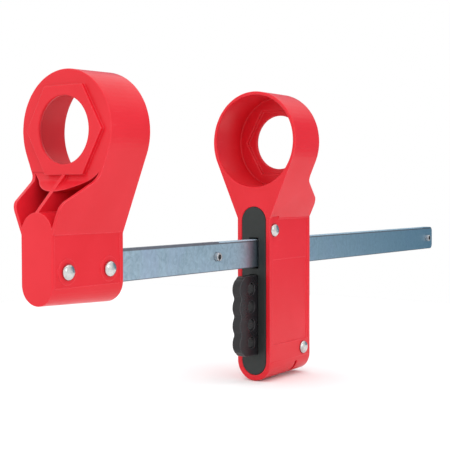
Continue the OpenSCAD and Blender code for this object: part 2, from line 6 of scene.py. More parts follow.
import bmesh
import bpy
import numpy as np
from bpy.props import FloatProperty, FloatVectorProperty, IntProperty, PointerProperty
from bpy.types import Operator, Panel, PropertyGroup
from mathutils import Matrix, Vector


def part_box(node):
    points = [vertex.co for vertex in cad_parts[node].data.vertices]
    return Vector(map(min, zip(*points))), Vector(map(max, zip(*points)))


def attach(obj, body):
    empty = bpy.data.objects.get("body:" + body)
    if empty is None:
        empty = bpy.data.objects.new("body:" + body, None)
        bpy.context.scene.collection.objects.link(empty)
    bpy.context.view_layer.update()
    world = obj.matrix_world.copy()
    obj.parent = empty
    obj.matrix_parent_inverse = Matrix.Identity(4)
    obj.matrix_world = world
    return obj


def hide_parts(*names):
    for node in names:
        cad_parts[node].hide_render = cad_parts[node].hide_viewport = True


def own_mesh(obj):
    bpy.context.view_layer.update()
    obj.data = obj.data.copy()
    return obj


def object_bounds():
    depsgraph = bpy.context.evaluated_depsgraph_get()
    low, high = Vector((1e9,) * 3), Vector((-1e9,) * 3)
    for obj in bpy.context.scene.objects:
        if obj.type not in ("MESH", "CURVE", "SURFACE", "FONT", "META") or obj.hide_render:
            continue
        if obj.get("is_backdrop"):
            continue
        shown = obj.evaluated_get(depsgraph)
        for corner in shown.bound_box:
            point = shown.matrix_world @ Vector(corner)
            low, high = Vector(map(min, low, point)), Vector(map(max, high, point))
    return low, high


bl_info = {
    "name": "Flange Lockout Clamp",
    "version": (1, 0, 0),
    "blender": (4, 5, 0),
    "location": "View3D > Sidebar > Lockout Clamp",
    "description": "Builds an adjustable flange-bolt lockout clamp around its packed CAD model",
    "category": "Object",
}

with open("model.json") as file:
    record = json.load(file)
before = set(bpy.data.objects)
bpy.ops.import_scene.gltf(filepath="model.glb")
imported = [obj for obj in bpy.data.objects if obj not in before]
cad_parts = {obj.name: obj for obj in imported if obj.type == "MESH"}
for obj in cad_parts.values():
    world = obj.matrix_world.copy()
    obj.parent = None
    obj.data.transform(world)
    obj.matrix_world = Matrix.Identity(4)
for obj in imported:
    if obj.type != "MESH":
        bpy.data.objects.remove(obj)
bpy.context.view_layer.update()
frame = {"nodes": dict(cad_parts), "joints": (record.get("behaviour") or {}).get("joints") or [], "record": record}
RECORD = frame["record"]
BODY_OF = {n: b for b, members in RECORD["behaviour"]["bodies"].items() for n in members}
SLOT_OF = {row["node"]: row["material_slot"] for row in RECORD["subparts"]}
MM = 0.001
Y_AXIS = Vector((0, 1, 0))

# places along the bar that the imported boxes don't give
FIXED_CUP_FLOOR_X = 4.8 * MM
SLIDING_CUP_FLOOR_X = 226.8 * MM
FIRST_TOOTH_X = 148 * MM

# edge rounding: neighbouring faces are one plane above FLAT_DOT, and edges one line below
# STRAIGHT_DOT; a side shrinks by SHRINK_LIMIT at most, and a rounding fills BAND_SHARE of its band
FLAT_DOT = math.cos(math.radians(0.4))
STRAIGHT_DOT = -math.cos(math.radians(35))
SMALLEST_BAND = 0.02 * MM
SHRINK_LIMIT = 0.8
BAND_SHARE = 0.85

# vertices closer than this are one, and lengths under it are nothing, in metres
MERGE_GAP = 1e-6
TINY = 1e-9


# ---------------------------------------------------------------- settings


class ClampShapeSettings(PropertyGroup):
    """Edge roundings and the fineness of the turned and coiled pieces."""

    shell_edge: FloatProperty(
        name="Head Edge", description="Widest rounding on the red heads",
        default=0.7 * MM, min=0.0, max=2 * MM, unit="LENGTH", subtype="DISTANCE",
    )
    bar_edge: FloatProperty(
        name="Bar Edge", description="Rounding of the bar's long edges",
        default=1.2 * MM, min=0.0, max=2 * MM, unit="LENGTH", subtype="DISTANCE",
    )
    trigger_edge: FloatProperty(
        name="Trigger Edge", description="Rounding of the finger lobes",
        default=1.9 * MM, min=0.0, max=3 * MM, unit="LENGTH", subtype="DISTANCE",
    )
    insert_edge: FloatProperty(
        name="Insert Edge", description="Rounding on the black inserts",
        default=0.4 * MM, min=0.0, max=1 * MM, unit="LENGTH", subtype="DISTANCE",
    )
    steel_edge: FloatProperty(
        name="Steel Edge", description="Rounding on the small stamped steel pieces",
        default=0.2 * MM, min=0.0, max=1 * MM, unit="LENGTH", subtype="DISTANCE",
    )
    turn_steps: IntProperty(
        name="Turning Steps", description="Facets round a rivet or a pin", default=64, min=16, max=128,
    )
    coil_steps: IntProperty(
        name="Coil Steps", description="Facets in each turn of a spring", default=40, min=12, max=96,
    )
    wire_sides: IntProperty(
        name="Wire Sides", description="Facets round the spring wire", default=10, min=6, max=24,
    )


def colour(name, description, default):
    """A colour setting of three parts."""
    return FloatVectorProperty(
        name=name, description=description, default=default, size=3, min=0.0, max=1.0, subtype="COLOR",
    )


class ClampColourSettings(PropertyGroup):
    """Base colours of the finishes."""

    red: colour("Red", "Moulded nylon of both heads", (0.70, 0.009, 0.019))
    plate: colour("Front Plate", "Satin black inserts", (0.021, 0.025, 0.024))
    grip: colour("Grip", "Black trigger", (0.012, 0.011, 0.013))
    zinc: colour("Zinc", "Bluish zinc plating of the bar", (0.355, 0.48, 0.575))
    rivet: colour("Rivet", "Polished rivet steel", (0.60, 0.60, 0.59))
    steel: colour("Steel", "Plain pin and spring steel", (0.50, 0.50, 0.51))
    floor: colour("Floor", "Pale studio floor", (0.97, 0.97, 0.97))


# ---------------------------------------------------------------- node helpers


def put(tree, kind, sets=None, **attributes):
    """Adds a node, sets its attributes, then its inputs; an input given as a socket is linked."""
    node = tree.nodes.new(kind)
    for key, value in attributes.items():
        setattr(node, key, value)
    for key, value in (sets or {}).items():
        if isinstance(value, bpy.types.NodeSocket):
            tree.links.new(value, node.inputs[key])
        else:
            node.inputs[key].default_value = value
    return node


def maths(tree, operation, a, b=0.0, c=0.0):
    """The result of one sum on sockets or numbers."""
    return put(tree, "ShaderNodeMath", {0: a, 1: b, 2: c}, operation=operation).outputs[0]


def blend_colour(tree, factor, a, b):
    """Colour that goes from a to b as the factor goes from 0 to 1; a and b are sockets or colours."""
    node = put(tree, "ShaderNodeMix", {0: factor}, data_type="RGBA", clamp_factor=True)
    for key, value in ((6, a), (7, b)):
        if isinstance(value, bpy.types.NodeSocket):
            tree.links.new(value, node.inputs[key])
        else:
            node.inputs[key].default_value = (*value[:3], 1.0)
    return node.outputs[2]


def ranged(tree, value, low, high, to_low=0.0, to_high=1.0, smooth=False):
    """The value's place between low and high, clamped and mapped onto to_low to to_high."""
    return put(
        tree, "ShaderNodeMapRange", {0: value, 1: low, 2: high, 3: to_low, 4: to_high},
        interpolation_type="SMOOTHSTEP" if smooth else "LINEAR", clamp=True,
    ).outputs[0]


def noise(tree, vector, scale, detail=3.0, roughness=0.55, distortion=0.0):
    """Noise with scale features per metre."""
    return put(
        tree, "ShaderNodeTexNoise",
        {"Vector": vector, "Scale": scale, "Detail": detail, "Roughness": roughness,
         "Distortion": distortion},
    ).outputs["Fac"]


def stretched(tree, vector, scale, turn=(0.0, 0.0, 0.0), place=(0.0, 0.0, 0.0)):
    """The vector scaled on each axis after a turn and a shift."""
    return put(
        tree, "ShaderNodeMapping", {"Vector": vector, "Scale": scale, "Rotation": turn, "Location": place},
    ).outputs[0]


def new_group(name, inputs, outputs):
    """An empty shader node group with float or vector sockets; returns its tree, inputs and outputs."""
    tree = bpy.data.node_groups.new(name, "ShaderNodeTree")
    for label, kind, default in inputs:
        socket = tree.interface.new_socket(name=label, in_out="INPUT", socket_type=kind)
        if default is not None:
            socket.default_value = default
    for label, kind in outputs:
        tree.interface.new_socket(name=label, in_out="OUTPUT", socket_type=kind)
    source = tree.nodes.new("NodeGroupInput")
    sink = tree.nodes.new("NodeGroupOutput")
    return tree, source.outputs, sink.inputs


FLOAT, VECTOR = "NodeSocketFloat", "NodeSocketVector"


def edge_wear_and_light_group():
    """Mask that is 1 on rounded edges, convex and creased alike, and broken up by noise; it lightens the abraded
    edges of the pins and springs, and carries painted highlights and painted shade on the other finishes.
    """
    name = "Edge Wear"
    if name in bpy.data.node_groups:
        return bpy.data.node_groups[name]
    tree, given, out = new_group(
        name,
        [("Vector", VECTOR, None), ("Radius", FLOAT, 0.0006), ("Scale", FLOAT, 250.0),
         ("Breakup", FLOAT, 0.5)],
        [("Mask", FLOAT)],
    )
    rounded = put(tree, "ShaderNodeBevel", {"Radius": given["Radius"]}, samples=4)
    normal = put(tree, "ShaderNodeNewGeometry").outputs["Normal"]
    dot = put(tree, "ShaderNodeVectorMath", {0: rounded.outputs[0], 1: normal}, operation="DOT_PRODUCT")
    edge = ranged(tree, dot.outputs["Value"], 0.995, 0.86, smooth=True)
    rough = noise(tree, given["Vector"], given["Scale"], detail=4.0, roughness=0.65)
    ragged = ranged(tree, rough, 0.35, 0.65)
    kept = maths(tree, "SUBTRACT", 1.0, maths(tree, "MULTIPLY", given["Breakup"], ragged))
    tree.links.new(maths(tree, "MULTIPLY", edge, kept), out["Mask"])
    return tree


def grain_group():
    """Height of a moulding's fine spark-eroded grain with a slow waviness under it."""
    name = "Moulded Grain"
    if name in bpy.data.node_groups:
        return bpy.data.node_groups[name]
    tree, given, out = new_group(
        name,
        [("Vector", VECTOR, None), ("Grain Scale", FLOAT, 2600.0), ("Wave Scale", FLOAT, 120.0),
         ("Wave Share", FLOAT, 0.3)],
        [("Height", FLOAT)],
    )
    fine = noise(tree, given["Vector"], given["Grain Scale"], detail=2.0, roughness=0.6)
    slow = noise(tree, given["Vector"], given["Wave Scale"], detail=2.0, roughness=0.5)
    tree.links.new(
        maths(tree, "ADD", fine, maths(tree, "MULTIPLY", slow, given["Wave Share"])), out["Height"]
    )
    return tree


def scuff_group():
    """Mask of short thin scuffs in two directions, and of a soft cloudy handling film."""
    name = "Scuffs and Film"
    if name in bpy.data.node_groups:
        return bpy.data.node_groups[name]
    tree, given, out = new_group(
        name, [("Vector", VECTOR, None), ("Scale", FLOAT, 1.0)], [("Scuffs", FLOAT), ("Film", FLOAT)],
    )
    sized = put(
        tree, "ShaderNodeVectorMath", {0: given["Vector"], 3: given["Scale"]}, operation="SCALE"
    ).outputs[0]
    thin_lines = (90.0, 1500.0, 1500.0)
    marks = []
    for turn, place in (((0.3, 0.5, 0.2), (0.0, 0.0, 0.0)), ((-0.6, -0.3, 1.1), (3.1, 1.7, 0.4))):
        lines = stretched(tree, sized, thin_lines, turn, place)
        marks.append(ranged(tree, noise(tree, lines, 1.0, detail=1.0, roughness=0.4), 0.70, 0.76))
    where = ranged(tree, noise(tree, sized, 55.0, detail=2.0), 0.50, 0.62)
    both = maths(tree, "MAXIMUM", marks[0], marks[1])
    tree.links.new(maths(tree, "MULTIPLY", both, where), out["Scuffs"])
    film = noise(tree, sized, 38.0, detail=4.0, roughness=0.6)
    tree.links.new(ranged(tree, film, 0.38, 0.66), out["Film"])
    return tree


def use_group(tree, group, **sets):
    """Places a node group with its own values; an underscore in a name stands for a space."""
    node = tree.nodes.new("ShaderNodeGroup")
    node.node_tree = group
    for key, value in sets.items():
        socket = node.inputs[key.replace("_", " ")]
        if isinstance(value, bpy.types.NodeSocket):
            tree.links.new(value, socket)
        else:
            socket.default_value = value
    return node.outputs


def start_material(name, **shader):
    """A new material with one Principled shader whose uniform values are set on its own sockets."""
    material = bpy.data.materials.new(name)
    material.use_nodes = True
    tree = material.node_tree
    bsdf = tree.nodes["Principled BSDF"]
    for key, value in shader.items():
        bsdf.inputs[key.replace("_", " ")].default_value = value
    place = put(tree, "ShaderNodeTexCoord").outputs["Object"]
    return material, tree, bsdf, place


def bump(tree, bsdf, height, strength, distance):
    """Feeds a height to the shader's normal; distance is in metres."""
    node = put(tree, "ShaderNodeBump", {"Height": height, "Strength": strength, "Distance": distance})
    tree.links.new(node.outputs[0], bsdf.inputs["Normal"])


# ---------------------------------------------------------------- finishes


def shade(rgb, factor):
    """The colour made darker or brighter, at most white."""
    return tuple(min(1.0, c * factor) for c in rgb)


def red_moulding(name, red):
    """Glossy pigmented nylon: slow tone changes, fine grain, painted highlights on its edges and creases, and
    light scuffs.
    """
    material, tree, bsdf, place = start_material(name, Specular_IOR_Level=0.28, IOR=1.5)
    deep = shade(red, 0.93)
    warm = (red[0], red[1] * 1.6, red[2] * 1.4)
    # pale red of the painted highlight on edges and creases
    edge_highlight = (0.95, 0.10, 0.13)
    scuffed = (0.90, 0.30, 0.32)
    cloud = noise(tree, place, 22.0, detail=3.0, roughness=0.5, distortion=0.4)
    tone = blend_colour(tree, ranged(tree, cloud, 0.3, 0.7), deep, warm)
    marks = use_group(tree, scuff_group(), Vector=place, Scale=1.0)
    edge_mask = use_group(tree, edge_wear_and_light_group(), Vector=place, Radius=0.8 * MM, Scale=260.0, Breakup=0.3)
    # painted highlight: edges and creases lightened towards the pale red
    tone = blend_colour(tree, maths(tree, "MULTIPLY", edge_mask["Mask"], 0.6), tone, edge_highlight)
    tone = blend_colour(tree, maths(tree, "MULTIPLY", marks["Scuffs"], 0.06), tone, scuffed)
    tree.links.new(tone, bsdf.inputs["Base Color"])
    rough = maths(tree, "MULTIPLY_ADD", marks["Film"], 0.09, 0.30)
    rough = maths(tree, "ADD", rough, maths(tree, "MULTIPLY", marks["Scuffs"], 0.07))
    tree.links.new(rough, bsdf.inputs["Roughness"])
    grain = use_group(
        tree, grain_group(), Vector=place, Grain_Scale=2400.0, Wave_Scale=90.0, Wave_Share=1.2
    )
    bump(tree, bsdf, grain["Height"], strength=0.22, distance=0.06 * MM)
    return material


def black_plastic(name, rgb, rough_low, rough_span, grain_scale, grain_strength, painted_edge_share, edge):
    """Black moulded plastic with its own grain and handling film, and painted light on its edges and creases: a
    painted highlight on the grip, painted shade on the front plate.
    """
    material, tree, bsdf, place = start_material(name, Specular_IOR_Level=0.32, IOR=1.5)
    scuffed = (0.12, 0.12, 0.12)
    cloud = noise(tree, place, 40.0, detail=3.0, roughness=0.5)
    tone = blend_colour(tree, ranged(tree, cloud, 0.3, 0.7), shade(rgb, 0.85), shade(rgb, 1.2))
    marks = use_group(tree, scuff_group(), Vector=place, Scale=1.3)
    edge_mask = use_group(tree, edge_wear_and_light_group(), Vector=place, Radius=0.7 * MM, Scale=320.0, Breakup=0.5)
    # painted light on edges and creases: lightened as a painted highlight on the grip, darkened as painted shade
    # on the front plate
    tone = blend_colour(tree, maths(tree, "MULTIPLY", edge_mask["Mask"], painted_edge_share), tone, edge)
    tone = blend_colour(tree, maths(tree, "MULTIPLY", marks["Scuffs"], 0.2), tone, scuffed)
    tree.links.new(tone, bsdf.inputs["Base Color"])
    rough = maths(tree, "MULTIPLY_ADD", marks["Film"], rough_span, rough_low)
    tree.links.new(rough, bsdf.inputs["Roughness"])
    grain = use_group(
        tree, grain_group(), Vector=place, Grain_Scale=grain_scale, Wave_Scale=150.0, Wave_Share=0.6
    )
    bump(tree, bsdf, grain["Height"], grain_strength, distance=0.08 * MM)
    return material


def zinc_plate(name, zinc):
    """Blue-passivated zinc on rolled flat bar: mottled, darkened towards its free end as painted shade, and darker
    and rougher along both edges.
    """
    material, tree, bsdf, place = start_material(name, Metallic=1.0)
    low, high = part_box("bar")
    pale = (zinc[0] * 1.22, zinc[1] * 1.14, zinc[2] * 1.1)
    violet = (zinc[0] * 1.08, zinc[1] * 0.93, zinc[2] * 1.08)
    # colour of the painted shade at the free end
    deep = (zinc[0] * 0.40, zinc[1] * 0.58, zinc[2] * 0.66)
    edge_grey = (0.13, 0.115, 0.13)
    axes = put(tree, "ShaderNodeSeparateXYZ", {0: place}).outputs
    along, height = axes[0], axes[2]

    # crystal mottle, a violet cast in slow patches, and pale streaks
    mottle = noise(tree, place, 170.0, detail=5.0, roughness=0.62, distortion=1.6)
    cloud = ranged(tree, mottle, 0.34, 0.66)
    tone = blend_colour(tree, cloud, shade(zinc, 0.80), pale)
    patches = stretched(tree, place, (48.0, 30.0, 20.0))
    cast = ranged(tree, noise(tree, patches, 1.0, detail=3.0, roughness=0.5, distortion=0.6), 0.5, 0.72)
    tone = blend_colour(tree, maths(tree, "MULTIPLY", cast, 0.5), tone, violet)
    grit = stretched(tree, place, (420.0, 300.0, 90.0))
    streak = ranged(tree, noise(tree, grit, 1.0, detail=3.0, roughness=0.6), 0.40, 0.66)
    tone = blend_colour(tree, maths(tree, "MULTIPLY", streak, 0.22), tone, shade(zinc, 1.4))

    # painted shade: the colour darkens towards the free end
    painted_far_shade = ranged(tree, along, high.x * 0.35, high.x, 0.0, 0.72)
    tone = blend_colour(tree, painted_far_shade, tone, deep)

    # dark grey, rougher bands along both long edges, left off the tooth crests
    toothed = ranged(tree, along, FIRST_TOOTH_X, FIRST_TOOTH_X + 1 * MM)
    tips = ranged(tree, height, high.z - 0.8 * MM, high.z - 0.6 * MM)
    crest = maths(tree, "MULTIPLY", toothed, tips)
    top_band = ranged(tree, height, high.z - 1.8 * MM, high.z - 1.4 * MM)
    top_edge = maths(tree, "SUBTRACT", top_band, crest)
    low_edge = ranged(tree, height, low.z + 0.7 * MM, low.z + 0.4 * MM)
    dark_rough_bands = maths(tree, "MULTIPLY", maths(tree, "MAXIMUM", top_edge, low_edge), 0.82)
    tone = blend_colour(tree, dark_rough_bands, tone, edge_grey)
    tree.links.new(tone, bsdf.inputs["Base Color"])

    rough = maths(tree, "MULTIPLY_ADD", cloud, -0.09, 0.43)
    tree.links.new(maths(tree, "MULTIPLY_ADD", dark_rough_bands, 0.12, rough), bsdf.inputs["Roughness"])
    rolled = stretched(tree, place, (120.0, 2500.0, 2500.0))
    lines = noise(tree, rolled, 1.0, detail=2.0, roughness=0.5)
    pits = noise(tree, place, 1500.0, detail=2.0, roughness=0.6)
    bump(tree, bsdf, maths(tree, "MULTIPLY_ADD", pits, 0.8, lines), strength=0.30, distance=0.04 * MM)
    return material


def plain_steel(name, rgb, rough, patch_scale, edge=1.35):
    """Bare steel with fine turning lines and darker patches; edges are abraded bright on the pins and springs, and
    darkened as painted shade on the rivets.
    """
    material, tree, bsdf, place = start_material(name, Metallic=1.0)
    patch = ranged(tree, noise(tree, place, patch_scale, detail=4.0, roughness=0.6), 0.3, 0.7)
    tone = blend_colour(tree, patch, shade(rgb, 0.78), shade(rgb, 1.1))
    edge_mask = use_group(tree, edge_wear_and_light_group(), Vector=place, Radius=0.3 * MM, Scale=700.0, Breakup=0.5)
    # edge colour: abraded bright on the pins and springs, darkened as painted shade round the rivets' heads
    tone = blend_colour(tree, maths(tree, "MULTIPLY", edge_mask["Mask"], 0.6), tone, shade(rgb, edge))
    tree.links.new(tone, bsdf.inputs["Base Color"])
    tree.links.new(maths(tree, "MULTIPLY_ADD", patch, 0.12, rough), bsdf.inputs["Roughness"])
    turning = stretched(tree, place, (900.0, 2600.0, 900.0))
    lines = noise(tree, turning, 1.0, detail=2.0, roughness=0.5)
    bump(tree, bsdf, lines, strength=0.15, distance=0.04 * MM)
    return material


def finish_of(slot):
    """The material for a slot of the record, made the first time it is asked for."""
    name = f"{slot}_finish"
    if name in bpy.data.materials:
        return bpy.data.materials[name]
    colours = bpy.context.scene.clamp_colours
    plate = tuple(colours.plate)
    grip = tuple(colours.grip)
    rivet = tuple(colours.rivet)
    steel = tuple(colours.steel)
    makers = {
        "red_moulding": lambda: red_moulding(name, tuple(colours.red)),
        "black_moulding": lambda: black_plastic(
            name, plate, rough_low=0.50, rough_span=0.10, grain_scale=2200.0, grain_strength=0.45,
            # front plate: edges and creases darkened as painted shade
            painted_edge_share=0.5, edge=shade(plate, 0.3),
        ),
        "black_grip": lambda: black_plastic(
            name, grip, rough_low=0.26, rough_span=0.14, grain_scale=3000.0, grain_strength=0.25,
            # grip: edges lightened to grey as a painted highlight along the lobes' rounding
            painted_edge_share=0.6, edge=(0.16, 0.16, 0.17),
        ),
        "zinc_plate": lambda: zinc_plate(name, tuple(colours.zinc)),
        # rivets: edges darkened as painted shade round the dome
        "bright_rivet": lambda: plain_steel(name, rivet, rough=0.17, patch_scale=260.0, edge=0.25),
        "pin_steel": lambda: plain_steel(name, steel, rough=0.30, patch_scale=320.0),
        "spring_wire": lambda: plain_steel(name, shade(steel, 1.1), rough=0.24, patch_scale=500.0),
        "hard_steel": lambda: plain_steel(name, shade(steel, 0.72), rough=0.36, patch_scale=180.0),
    }
    return makers[slot]()


# ---------------------------------------------------------------- shape helpers


def flat_regions(bm):
    """Groups of neighbouring faces that lie in one plane."""
    seen = set()
    for seed in bm.faces:
        if seed in seen:
            continue
        seen.add(seed)
        group = [seed]
        open_faces = [seed]
        while open_faces:
            for edge in open_faces.pop().edges:
                for other in edge.link_faces:
                    if other not in seen and other.normal.dot(seed.normal) > FLAT_DOT:
                        seen.add(other)
                        group.append(other)
                        open_faces.append(other)
        yield group


def rim_of(group):
    """The region's border as loops that run anticlockwise round it, or None where it touches itself."""
    inside = set(group)
    border = [
        loop for face in group for loop in face.loops
        if sum(other in inside for other in loop.edge.link_faces) == 1
    ]
    following = {}
    for loop in border:
        if loop.vert in following:
            return None
        following[loop.vert] = loop.link_loop_next.vert
    return following


def safe_inset(group, widest, share):
    """The widest even inset of a flat region that keeps its outline simple, or 0.

    Each side's middle looks inward for the nearest other side, and the inset is at most a share of
    that distance. No side may shrink by more than SHRINK_LIMIT of its length.
    """
    sharpest_turn = 0.02
    parallel = 1e-15
    own_side = 1e-7
    slack = 1e-6
    following = rim_of(group)
    if not following or len(following) < 3:
        return 0.0
    normal = group[0].normal
    side = normal.orthogonal().normalized()
    up = normal.cross(side)
    verts = list(following)
    index = {v: i for i, v in enumerate(verts)}
    flat = np.array([(v.co.dot(side), v.co.dot(up)) for v in verts])
    after = np.array([index[following[v]] for v in verts])
    before = np.empty_like(after)
    before[after] = np.arange(len(verts))
    run = flat[after] - flat
    length = np.linalg.norm(run, axis=1)
    if length.min() < TINY:
        return 0.0
    way = run / length[:, None]
    inward = np.stack([-way[:, 1], way[:, 0]], axis=1)
    turn = 1 + (inward * inward[before]).sum(axis=1)
    if turn.min() < sharpest_turn:
        return 0.0
    miter = (inward + inward[before]) / turn[:, None]
    middle = flat + run / 2
    start = flat[None, :, :] - middle[:, None, :]
    cross = inward[:, None, 0] * run[None, :, 1] - inward[:, None, 1] * run[None, :, 0]
    safe = np.where(np.abs(cross) < parallel, np.nan, cross)
    reach = (start[:, :, 0] * run[None, :, 1] - start[:, :, 1] * run[None, :, 0]) / safe
    along = (start[:, :, 0] * inward[:, None, 1] - start[:, :, 1] * inward[:, None, 0]) / safe
    hit = (reach > own_side) & (along >= -slack) & (along <= 1 + slack)
    inset = min(widest, share * float(np.where(hit, reach, np.inf).min()))
    shrink = ((miter - miter[after]) * way).sum(axis=1)
    worst = float((shrink / length).max())
    return min(inset, SHRINK_LIMIT / worst) if worst > 0 else inset


def frame_flat_regions(bm, widest, share):
    """Gives each flat region an even band of quads round its border and fills the rest afresh."""
    for group in list(flat_regions(bm)):
        if len(group) == 1 and len(group[0].verts) <= 4:
            continue
        inset = safe_inset(group, widest, share)
        if inset < SMALLEST_BAND:
            continue
        normal = group[0].normal.copy()
        band = bmesh.ops.inset_region(
            bm, faces=group, thickness=inset, use_even_offset=True, use_boundary=True
        )["faces"]
        kept = set(band)
        inner = [
            edge for edge in dict.fromkeys(e for face in group for e in face.edges)
            if any(face in kept for face in edge.link_faces)
        ]
        bmesh.ops.delete(bm, geom=group, context="FACES")
        filled = bmesh.ops.triangle_fill(
            bm, edges=[e for e in inner if e.is_valid], use_beauty=True, use_dissolve=False, normal=normal
        )["geom"]
        faces = [g for g in filled if isinstance(g, bmesh.types.BMFace)]
        for face in faces:
            face.normal_update()
            if face.normal.dot(normal) < 0:
                face.normal_flip()
        for face in band:
            face.normal_update()
            face[bm.faces.layers.int["band"]] = 1


def weigh_edges(bm, widest, share, angle):
    """Gives every sharp edge a bevel weight that suits its faces and the edges it slides along."""
    free_share = 0.45
    step_share = 0.4
    layer = bm.edges.layers.float.new("bevel_weight_edge")
    banded = bm.faces.layers.int["band"]
    width = {}
    for edge in bm.edges:
        if len(edge.link_faces) != 2 or edge.calc_face_angle(0.0) < math.radians(angle):
            continue
        width[edge] = widest
        for face in edge.link_faces:
            # a triangle's height is twice its area over its base
            times = 2 if len(face.verts) == 3 else 1
            height = times * face.calc_area() / edge.calc_length()
            width[edge] = min(width[edge], (BAND_SHARE if face[banded] else share) * height)
    pairs = []
    for edge in width:
        for vert in edge.verts:
            way = (edge.other_vert(vert).co - vert.co).normalized()
            for other in vert.link_edges:
                if other is edge:
                    continue
                run = other.other_vert(vert).co - vert.co
                slide = way.cross(run).length
                if other not in width:
                    near = any(face[banded] for face in other.link_faces)
                    width[edge] = min(width[edge], (BAND_SHARE if near else free_share) * slide)
                elif way.dot(run.normalized()) < STRAIGHT_DOT:
                    step = step_share * min(slide, edge.calc_length() * slide / run.length)
                    pairs.append((edge, other, step))
                elif set(edge.link_faces) & set(other.link_faces):
                    width[edge] = min(width[edge], free_share * slide)
    changed = True
    while changed:
        changed = False
        for edge, other, step in pairs:
            if width[edge] > width[other] + step + TINY:
                width[edge] = width[other] + step
                changed = True
    for edge, value in width.items():
        edge[layer] = min(1.0, value / widest)


def finished(bm, node):
    """Makes the bmesh an object that replaces its node, with its finish, riding on its body."""
    name = f"{node}_finished"
    mesh = bpy.data.meshes.new(name)
    bm.to_mesh(mesh)
    bm.free()
    piece = bpy.data.objects.new(name, mesh)
    bpy.context.scene.collection.objects.link(piece)
    mesh.materials.append(finish_of(SLOT_OF[node]))
    mesh.shade_smooth()
    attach(piece, BODY_OF[node])
    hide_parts(node)
    return piece


def flatten_normals(piece, weight):
    """Normals weighted by face area, so that flat faces look flat beside small roundings."""
    normals = piece.modifiers.new("flat_faces", "WEIGHTED_NORMAL")
    normals.weight = weight
    return normals


def round_edges(piece, widest, segments):
    """Live bevel on the weighted edges, then normals that keep the flat faces flat."""
    bevel = piece.modifiers.new("round_edges", "BEVEL")
    bevel.limit_method = "WEIGHT"
    bevel.width = widest
    bevel.segments = segments
    bevel.use_clamp_overlap = False
    bevel.loop_slide = False
    normals = flatten_normals(piece, 100)
    normals.keep_sharp = True
    normals.mode = "FACE_AREA_WITH_ANGLE"


def moulded_copy(node, widest, share=0.32, angle=20.0, segments=2, adjust=None):
    """A merged copy of a CAD node with every sharp edge rounded to suit its faces."""
    bm = bmesh.new()
    bm.from_mesh(frame["nodes"][node].data)
    bmesh.ops.remove_doubles(bm, verts=bm.verts, dist=MERGE_GAP)
    bmesh.ops.dissolve_limit(
        bm, angle_limit=math.radians(0.8), verts=bm.verts, edges=bm.edges, use_dissolve_boundaries=False
    )
    bm.normal_update()
    bm.faces.layers.int.new("band")
    band_width = 1.25 * widest
    frame_flat_regions(bm, band_width, share=0.42)
    bm.normal_update()
    weigh_edges(bm, widest, share, angle)
    if adjust:
        adjust(bm)
    piece = finished(bm, node)
    round_edges(piece, widest, segments)
    return piece


def turned(bm, profile, axis, centre, steps, angle=math.tau):
    """Spins a profile of (radius, height) points round an axis; a full turn is merged shut."""
    side = axis.orthogonal().normalized()
    verts = [bm.verts.new(centre + side * r + axis * h) for r, h in profile]
    edges = [bm.edges.new(pair) for pair in zip(verts, verts[1:])]
    bmesh.ops.spin(
        bm, geom=verts + edges, cent=centre, axis=axis, angle=angle, steps=steps,
        use_merge=angle >= math.tau, use_duplicate=False,
    )


def close_up(bm):
    """Merges seams and poles, then turns every face outward."""
    bmesh.ops.remove_doubles(bm, verts=bm.verts, dist=MERGE_GAP)
    bmesh.ops.recalc_face_normals(bm, faces=bm.faces)


# ---------------------------------------------------------------- pieces


class CLAMP_OT_red_heads(Operator):
    """Both red moulded heads with rounded edges, and the ejector marks on their cup floors"""

    bl_idname = "clamp.red_heads"
    bl_label = "Red Heads"

    def execute(self, context):
        widest = context.scene.clamp_shape.shell_edge
        for node, floor_x, way in (
            ("fixed_head_shell", FIXED_CUP_FLOOR_X, 1),
            ("sliding_head_shell", SLIDING_CUP_FLOOR_X, -1),
        ):
            moulded_copy(
                node, widest, adjust=lambda bm, at=floor_x, towards=way: self.ejector_marks(bm, at, towards)
            )
        return {"FINISHED"}

    def ejector_marks(self, bm, floor_x, way):
        """Two slightly raised round marks on the cup's floor, beside the hexagonal pocket."""
        mark_r = 2.1 * MM
        taper = 0.12 * MM
        rise = 0.25 * MM
        sunk = 0.3 * MM
        ring_r = 30.3 * MM
        fall = math.radians(-24)
        for side in (-1, 1):
            centre = Vector((
                floor_x + way * (rise - sunk) / 2, side * ring_r * math.cos(fall), ring_r * math.sin(fall)
            ))
            turn = Matrix.Rotation(way * math.radians(90), 4, "Y")
            bmesh.ops.create_cone(
                bm, cap_ends=True, segments=32, radius1=mark_r, radius2=mark_r - taper,
                depth=rise + sunk, matrix=Matrix.Translation(centre) @ turn,
            )


class CLAMP_OT_bar(Operator):
    """Toothed flat bar with rounded long edges"""

    bl_idname = "clamp.bar"
    bl_label = "Toothed Bar"

    def execute(self, context):
        moulded_copy("bar", context.scene.clamp_shape.bar_edge, share=0.18, segments=3)
        return {"FINISHED"}


class CLAMP_OT_black_inserts(Operator):
    """Carrier with its front plate, the fixed head's socket, the rear guide and the spring block"""

    bl_idname = "clamp.black_inserts"
    bl_label = "Black Inserts"

    def execute(self, context):
        for node in ("carrier", "fixed_head_socket", "rear_bar_guide", "spring_block"):
            moulded_copy(node, context.scene.clamp_shape.insert_edge)
        return {"FINISHED"}


class CLAMP_OT_trigger(Operator):
    """Finger trigger with soft lobes and four padlock holes"""

    bl_idname = "clamp.trigger"
    bl_label = "Trigger"

    def execute(self, context):
        moulded_copy("trigger", context.scene.clamp_shape.trigger_edge, share=0.28, segments=4)
        return {"FINISHED"}


